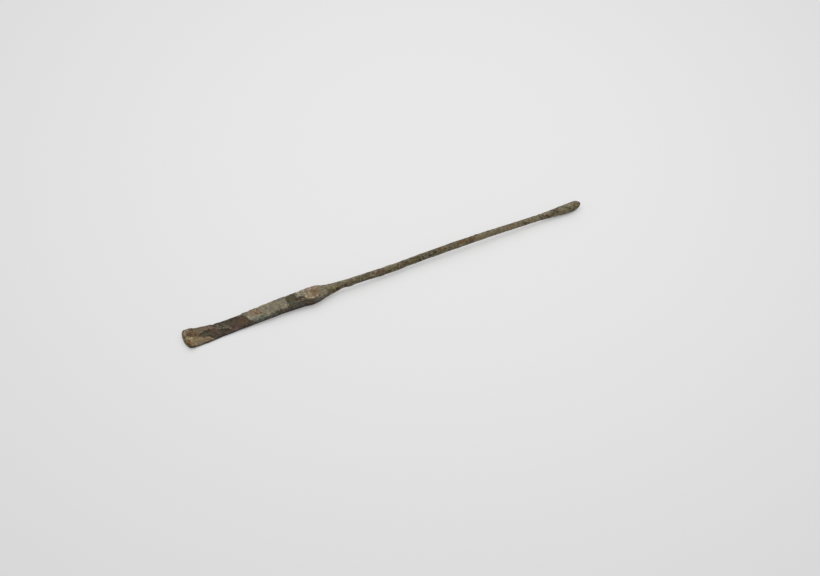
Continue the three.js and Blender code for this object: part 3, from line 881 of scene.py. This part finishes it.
def node(tree, kind, inputs, **settings):
    made = tree.nodes.new(kind)
    for key, value in settings.items():
        setattr(made, key, value)
    return fed(tree, made, inputs)


def ranged(tree, value, low, high, to_low=0, to_high=1):
    """Value taken from one range to another by a smooth step."""
    inputs = {"Value": value, "From Min": low, "From Max": high, "To Min": to_low, "To Max": to_high}
    made = node(tree, "ShaderNodeMapRange", inputs, interpolation_type="SMOOTHSTEP")
    return made.outputs["Result"]


STREAK_ANGLE = math.radians(-38)


def shader_noise(tree, wave, detail=3, offset=0, contrast=0, stretch=1):
    """Noise over the object's own coordinates, with a wave in mm. Contrast takes it towards 0 and 1.

    Stretch draws it out into slanting streaks.
    """
    inputs = {
        "Vector": node(tree, "ShaderNodeTexCoord", {}).outputs["Object"],
        "Location": (offset * MM,) * 3,
        "Rotation": (0, 0, STREAK_ANGLE),
        "Scale": (wave * stretch * MM, wave * MM, wave * MM),
    }
    moved = node(tree, "ShaderNodeMapping", inputs, vector_type="TEXTURE").outputs["Vector"]
    inputs = {"Vector": moved, "Scale": 1, "Detail": detail}
    value = node(tree, "ShaderNodeTexNoise", inputs).outputs["Fac"]
    if contrast:
        value = ranged(tree, value, 1 / 2 - contrast, 1 / 2 + contrast)
    return value


def mask(tree, name):
    return node(tree, "ShaderNodeAttribute", {}, attribute_name=name).outputs["Fac"]


def product(tree, first, second):
    return node(tree, "ShaderNodeMath", {0: first, 1: second}, operation="MULTIPLY").outputs["Value"]


# Sockets of the colour mix
MIX_COVER = 0
MIX_BELOW = 6
MIX_ABOVE = 7
MIX_RESULT = 2


def mixed(tree, below, above, cover):
    """One colour over another: each a socket, a tone's name or linear. The cover is a socket or a noise."""
    below, above = [linear(TONES[one]) if isinstance(one, str) else one for one in (below, above)]
    if isinstance(cover, dict):
        cover = shader_noise(tree, **cover)
    inputs = {MIX_BELOW: below, MIX_ABOVE: above, MIX_COVER: cover}
    return node(tree, "ShaderNodeMix", inputs, data_type="RGBA").outputs[MIX_RESULT]


# How a painted mask is broken up: the grain that it is multiplied with, how sharp the islands' edges are,
# and how far the grain is shifted from layer to layer
FRAY_GRAIN = {"wave": 0.7, "detail": 5, "stretch": 1.5}
FRAY_LEAST_SHARE = -0.25
FRAY_MOST_SHARE = 2.25
FRAY_EDGE = 0.24
LAYER_OFFSET = 11


def frayed_mask(tree, name, strength, offset):
    """A painted mask broken up by fine noise: a cover of one half leaves islands of the tone."""
    grain = shader_noise(tree, offset=offset, **FRAY_GRAIN)
    inputs = {0: grain, 1: FRAY_MOST_SHARE - FRAY_LEAST_SHARE, 2: FRAY_LEAST_SHARE}
    factor = node(tree, "ShaderNodeMath", inputs, operation="MULTIPLY_ADD").outputs["Value"]
    value = product(tree, mask(tree, name), factor)
    return ranged(tree, value, 1 / 2 - FRAY_EDGE, 1 / 2 + FRAY_EDGE, 0, strength)


def layered(tree, colour, layers):
    """Lays each painted tone over the colour, in turn."""
    for number, (name, (*tone, strength)) in enumerate(layers.items()):
        cover = frayed_mask(tree, name, strength, LAYER_OFFSET * number)
        colour = mixed(tree, colour, linear(tone), cover)
    return colour


# The grain that every material has: speckles, uneven roughness and a bump too fine for the mesh
GRAIN_DETAIL = 4
GRAIN_RANGE = (0.3, 0.7)
ROUGHNESS_GRAIN = {"wave": 0.9, "offset": 70}
BUMP_OFFSET = 80
SPECULAR = 0.16


def speckled(tree, colour, speckles):
    """Fine light and dark grain in a colour: each of the speckles has a wave, a strength and an offset."""
    for wave, strength, offset in speckles:
        grain = shader_noise(tree, wave, GRAIN_DETAIL, offset)
        inputs = {"Color": colour, "Value": ranged(tree, grain, *GRAIN_RANGE, 1 - strength, 1 + strength)}
        colour = node(tree, "ShaderNodeHueSaturation", inputs).outputs["Color"]
    return colour


def new_material(name):
    material = bpy.data.materials.new(name)
    material.use_nodes = True
    return material, material.node_tree, material.node_tree.nodes["Principled BSDF"]


def finish(tree, shader, colour, roughness, bump_wave, bump_depth):
    """Gives a shader its colour, a roughness between two values, and a bump with wave and depth in mm."""
    rough = ranged(tree, shader_noise(tree, **ROUGHNESS_GRAIN), *GRAIN_RANGE, *roughness)
    height = shader_noise(tree, bump_wave, GRAIN_DETAIL, BUMP_OFFSET)
    inputs = {"Height": height, "Distance": bump_depth * MM, "Strength": 1}
    bump = node(tree, "ShaderNodeBump", inputs).outputs["Normal"]
    inputs = {"Base Color": colour, "Roughness": rough, "Specular IOR Level": SPECULAR, "Normal": bump}
    fed(tree, shader, inputs)


# The patina. Each cover goes from its third number to its fourth as a noise or a pit goes from its first to
# its second.
UMBER_NOISE = {"wave": 2.6, "contrast": 0.2}
COCOA_NOISE = {"wave": 1.2, "offset": 5, "contrast": 0.14, "stretch": 2}
ROD_OLIVE_NOISE = {"wave": 2.2, "offset": 12, "contrast": 0.08}
ROD_ROSE_NOISE = {"wave": 2.9, "offset": 19, "contrast": 0.08}
ROD_LIGHT_NOISE = {"wave": 1.1, "detail": 4, "offset": 26, "contrast": 0.11, "stretch": 1.5}
ROD_DARK_NOISE = {"wave": 0.62, "offset": 29, "stretch": 1.4}
ROD_DARK_COVER = (0.52, 0.66, 0, 0.85)
DUST_AND_HIGHLIGHT_NOISE = {"wave": 1.1, "offset": 33, "contrast": 0.15}
DUST_AND_HIGHLIGHT_TONE_NOISE = {"wave": 2.6, "offset": 41, "contrast": 0.06}
DUST_AND_HIGHLIGHT_ROSE_NOISE = {"wave": 3.4, "offset": 37, "contrast": 0.06}
PATINA_LAYERS = {
    "ash": (125, 119, 94, 0.75), "olive": (82, 77, 52, 0.75), "khaki": (102, 95, 56, 0.7),
    "brown": (107, 82, 53, 0.7), "russet": (86, 69, 49, 0.7), "earth": (115, 99, 78, 0.85),
    "red": (88, 62, 52, 0.6), "slate": (76, 80, 72, 0.6), "rose": (124, 102, 92, 0.75),
    "tan": (128, 117, 92, 0.75), "black": (*BLACK, 0.8), "pale": (120, 112, 94, 0.8),
    "cream": (150, 138, 114, 0.8), "yellow": (138, 132, 80, 0.7),
}
FLANK_SHADE_STRENGTH = 0.8
FLANK_SHADE_OFFSET = 44
PATINA_PIT_COVER = (0.2, 0.9, 0, 0.45)
PATINA_SPECKLES = [(0.85, 0.24, 57), (0.4, 0.36, 55)]
PATINA_FINISH = {"roughness": (0.55, 0.8), "bump_wave": 0.16, "bump_depth": 0.035}


def rod_colour(tree):
    """Mottled brown and olive, with lighter grey and rose over it and dark specks on top."""
    dull = mixed(tree, "rod_brown", "rod_olive", ROD_OLIVE_NOISE)
    light = mixed(tree, "rod_grey", "rod_rose", ROD_ROSE_NOISE)
    colour = mixed(tree, dull, light, ROD_LIGHT_NOISE)
    specks = ranged(tree, shader_noise(tree, **ROD_DARK_NOISE), *ROD_DARK_COVER)
    return mixed(tree, colour, "rod_dark", specks)


def dusted_and_highlighted(tree, colour):
    """Pale dust and a painted highlight, grey to green and rose, over a colour."""
    cover = product(tree, mask(tree, "dust_and_highlight"), shader_noise(tree, **DUST_AND_HIGHLIGHT_NOISE))
    dust_and_highlight = mixed(tree, "dust_and_highlight_green", "dust_and_highlight", DUST_AND_HIGHLIGHT_TONE_NOISE)
    dust_and_highlight = mixed(tree, dust_and_highlight, "dust_and_highlight_rose", DUST_AND_HIGHLIGHT_ROSE_NOISE)
    return mixed(tree, colour, dust_and_highlight, cover)


def patina():
    """Bronze under its patina: chocolate on the blade, and mottled olive and brown on the shaft."""
    material, tree, shader = new_material("patinated_bronze")
    blade = mixed(tree, "chocolate", "umber", UMBER_NOISE)
    blade = mixed(tree, blade, "cocoa", COCOA_NOISE)
    colour = mixed(tree, blade, rod_colour(tree), mask(tree, "rod"))
    # The dust layer also paints a highlight on the shaft's upward-facing top
    colour = dusted_and_highlighted(tree, layered(tree, colour, PATINA_LAYERS))
    # Painted shade on the blade's steep flanks
    colour = mixed(tree, colour, "flank_shade", frayed_mask(tree, "flank_shade", FLANK_SHADE_STRENGTH, FLANK_SHADE_OFFSET))
    pits = ranged(tree, mask(tree, "pit"), *PATINA_PIT_COVER)
    colour = speckled(tree, mixed(tree, colour, linear(BLACK), pits), PATINA_SPECKLES)
    finish(tree, shader, colour, **PATINA_FINISH)
    return material


# The crusts' materials
CRUST_NOISE = {"wave": 0.8, "contrast": 0.12, "stretch": 3}
CRUST_PIT_COVER = (0.3, 1, 0, 0.35)
CRUST_SPECKLES = [(0.8, 0.18, 36), (0.35, 0.32, 31)]
CRUST_FINISH = {"roughness": (0.75, 0.95), "bump_wave": 0.14, "bump_depth": 0.05}


def crust_material(name, ground, streaks, layers):
    """A crust of one colour streaked with a second, with its painted layers over them."""
    material, tree, shader = new_material(name)
    colour = mixed(tree, linear(ground), linear(streaks), CRUST_NOISE)
    colour = layered(tree, colour, layers)
    pits = ranged(tree, mask(tree, "pit"), *CRUST_PIT_COVER)
    colour = speckled(tree, mixed(tree, colour, linear(CRUST_DARK), pits), CRUST_SPECKLES)
    finish(tree, shader, colour, **CRUST_FINISH)
    return material


def end_crust_material():
    # The dark layer is partly painted shade along the near lower edge
    layers = {
        "green": (132, 115, 82, 0.6), "rose": (119, 103, 87, 0.7), "warm": (118, 84, 45, 0.8),
        "pale": (164, 146, 117, 0.8), "dark": (*CRUST_DARK, 0.75),
    }
    return crust_material("tan_crust", (122, 106, 79), (138, 121, 96), layers)


def blade_crust_material():
    # The dark layer is partly painted shade along the near lower edge
    layers = {
        "grey": (104, 101, 90, 0.7), "warm": (143, 123, 98, 0.75), "green": (98, 104, 91, 0.7),
        "brown": (88, 67, 46, 0.75), "pale": (152, 145, 128, 0.7), "dark": (*CRUST_DARK, 0.85),
        # The bluish layer is painted shade along the crust's near lower edge
        "blue_shade": (96, 98, 98, 0.6),
    }
    return crust_material("grey_green_crust", (122, 114, 94), (137, 129, 109), layers)


def shoulder_crust_material():
    # The dark layer is partly painted shade along the near lower edge
    layers = {
        "ash": (135, 128, 108, 0.9), "streak": (164, 155, 131, 0.8), "rose": (150, 127, 113, 0.7),
        "warm": (122, 101, 75, 0.75), "brown": (94, 70, 46, 0.8), "pale": (190, 178, 150, 0.75),
        "dark": (*CRUST_DARK, 0.75),
    }
    return crust_material("pink_tan_crust", (130, 114, 92), (144, 126, 102), layers)


def dress(piece, material, node_name):
    """Gives a piece its material and its place in the frame."""
    piece.data.materials.append(material)
    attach(piece, "root")
    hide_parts(node_name)


dress(wrought_body(), patina(), "probe_body")
deposit = crust("end_deposit", END_CRUST, END_CRUST_STROKES, seed=100)
dress(deposit, end_crust_material(), "end_crust")
deposit = crust("blade_deposit", BLADE_CRUST, BLADE_CRUST_STROKES, seed=200)
dress(deposit, blade_crust_material(), "blade_crust")
deposit = crust("shoulder_deposit", SHOULDER_CRUST, SHOULDER_CRUST_STROKES, seed=300)
dress(deposit, shoulder_crust_material(), "shoulder_crust")

# Camera, with its nearest distance in metres
LENS = 85
SENSOR = 36
NEAREST = 0.01
CAMERA_AZIMUTH = math.radians(-24.29)
CAMERA_ELEVATION = math.radians(50)
CAMERA_DISTANCE = 685.7 * MM
CAMERA_TARGET = Vector((3.97, -11.2, 2)) * MM


def toward(azimuth, elevation):
    """The unit vector that points to a place seen from the object. Azimuth 0 is on the near side."""
    level = math.cos(elevation)
    return Vector((math.sin(azimuth) * level, -math.cos(azimuth) * level, math.sin(elevation)))


def aimed(data, place, back):
    """Adds a camera or lamp that looks from its place along the opposite of back."""
    made = linked(data.name, data)
    made.location = place
    made.rotation_euler = (-back).to_track_quat("-Z", "Y").to_euler()
    return made


def add_camera():
    data = bpy.data.cameras.new("camera")
    data.lens = LENS
    data.sensor_width = SENSOR
    data.clip_start = NEAREST
    back = toward(CAMERA_AZIMUTH, CAMERA_ELEVATION)
    bpy.context.scene.camera = aimed(data, CAMERA_TARGET + back * CAMERA_DISTANCE, back)


# Floor and light. What isn't given in MM is in metres.
FLOOR_HALF = 3.0
FLOOR_BRIGHT_SHARE = 0.825
FLOOR_EDGE_SHARE = 0.68
# Painted light on the floor: a glow that pales its shadow, and less glow, a painted contact shadow, where
# the object is near
GLOW_SHARE = 0.58
SHADE_GLOW_SHARE = 0.1
SHADE_REACH = 3 * MM
SHADE_SAMPLES = 4
SHADE_FULL_SHARE = 0.12
SHADE_NONE_SHARE = 0.5
FLOOR_MIDDLE = Vector((40, 30, 0)) * MM
FLOOR_LIGHT_FALLOFF_START = 20 * MM
FLOOR_LIGHT_FALLOFF_END = 330 * MM
FLOOR_ROUGHNESS = 0.9
WORLD_STRENGTH = 0.55
KEY_SIZE = 1.3
KEY_POWER = 6.6
KEY_AZIMUTH = math.radians(175)
KEY_ELEVATION = math.radians(62)
KEY_DISTANCE = 1.0


def grey(share):
    return (share, share, share, 1)


def floor_material():
    """A matt white sheet, darker away from its middle. Its glow keeps the shadow as pale as the photo's."""
    material, tree, shader = new_material("white_sheet")
    place = node(tree, "ShaderNodeTexCoord", {}).outputs["Object"]
    # Painted light: the sheet's colour falls off from its middle outward, like a pool of light
    away = node(tree, "ShaderNodeVectorMath", {0: place, 1: FLOOR_MIDDLE}, operation="DISTANCE")
    light_falloff = ranged(tree, away.outputs["Value"], FLOOR_LIGHT_FALLOFF_START, FLOOR_LIGHT_FALLOFF_END)
    colour = mixed(tree, grey(FLOOR_BRIGHT_SHARE), grey(FLOOR_EDGE_SHARE), light_falloff)
    fed(tree, shader, {"Base Color": colour, "Roughness": FLOOR_ROUGHNESS, "Specular IOR Level": 0})
    # Painted light and shade: the sheet glows to the camera alone, paling its shadow, and glows less where
    # the object is near, darkening a contact shadow
    glow = node(tree, "ShaderNodeEmission", {"Color": colour}).outputs["Emission"]
    seen = node(tree, "ShaderNodeLightPath", {}).outputs["Is Camera Ray"]
    inputs = {"Distance": SHADE_REACH}
    openness = node(tree, "ShaderNodeAmbientOcclusion", inputs, samples=SHADE_SAMPLES).outputs["AO"]
    glowing = ranged(tree, openness, SHADE_FULL_SHARE, SHADE_NONE_SHARE, SHADE_GLOW_SHARE, GLOW_SHARE)
    share = product(tree, seen, glowing)
    blend = node(tree, "ShaderNodeMixShader", {0: share, 1: shader.outputs["BSDF"], 2: glow})
    fed(tree, tree.nodes["Material Output"], {"Surface": blend.outputs["Shader"]})
    return material


def add_floor():
    half = FLOOR_HALF
    corners = [(-half, -half, 0), (half, -half, 0), (half, half, 0), (-half, half, 0)]
    mesh = bpy.data.meshes.new("floor")
    mesh.from_pydata(corners, [], [(0, 1, 2, 3)])
    mesh.materials.append(floor_material())
    floor = linked("floor", mesh)


def add_light():
    world = bpy.data.worlds.new("world")
    bpy.context.scene.world = world
    world.use_nodes = True
    inputs = {"Color": grey(1), "Strength": WORLD_STRENGTH}
    fed(world.node_tree, world.node_tree.nodes["Background"], inputs)
    key = bpy.data.lights.new("key", "AREA")
    key.shape = "SQUARE"
    key.size = KEY_SIZE
    key.energy = KEY_POWER
    out = toward(KEY_AZIMUTH, KEY_ELEVATION)
    aimed(key, out * KEY_DISTANCE, out)


add_camera()
add_floor()
add_light()
bpy.context.scene.view_settings.view_transform = "Standard"
